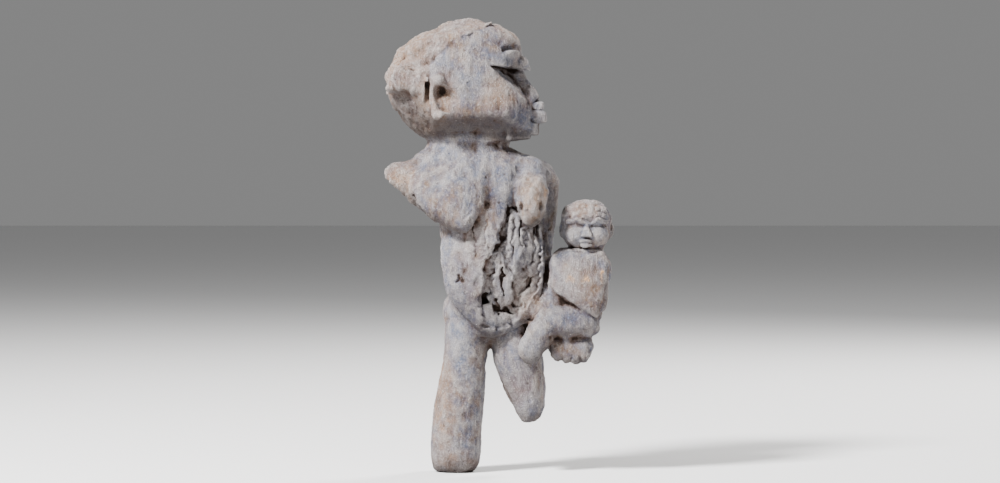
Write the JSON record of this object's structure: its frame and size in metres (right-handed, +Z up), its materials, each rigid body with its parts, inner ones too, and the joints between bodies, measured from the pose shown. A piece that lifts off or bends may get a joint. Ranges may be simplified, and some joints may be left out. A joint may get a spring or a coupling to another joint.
{
  "type": "carved maternity figure",
  "caption": "Weathered wooden standing woman, head turned to her left, carrying a child on her left hip; right arm and left leg broken off short.",
  "frame": {"origin": "middle of the figure's footprint in X and Y, at the height of the standing leg's sole", "axes": "+Z up; the woman's chest faces -Y; her face and the carried child are towards +X (her left)"},
  "size_m": [0.2268, 0.1082, 0.45],
  "materials": {
    "head_wood": "matte, weathered grey-brown wood with a bluish patina and dark hollows",
    "hair_wood": "rough matte weathered grey-brown wood",
    "body_wood": "matte, weathered grey wood with blue-grey and tan patches",
    "broken_wood": "matte, eroded tan-brown wood",
    "child_wood": "matte, weathered grey-tan wood with worn ochre spots"
  },
  "bodies": {
    "root": {"head": "head_wood", "hair_cap": "hair_wood", "right_ear": "head_wood", "left_ear": "head_wood", "right_brow": "head_wood", "left_brow": "head_wood", "nose": "head_wood", "upper_lip": "head_wood", "lower_lip": "head_wood", "neck": "body_wood", "chest": "body_wood", "abdomen": "body_wood", "right_breast": "body_wood", "left_breast": "broken_wood", "right_arm_stump": "body_wood", "pelvis": "body_wood", "right_leg": "body_wood", "left_leg_stump": "body_wood", "left_upper_arm": "body_wood", "left_forearm": "body_wood", "left_hand": "body_wood", "child_torso": "child_wood", "child_head": "child_wood", "child_right_ear": "child_wood", "child_left_ear": "child_wood", "child_right_arm": "child_wood", "child_left_arm": "child_wood", "child_right_thigh": "child_wood", "child_right_shin": "child_wood", "child_left_leg": "child_wood"}
  },
  "joints": []
}
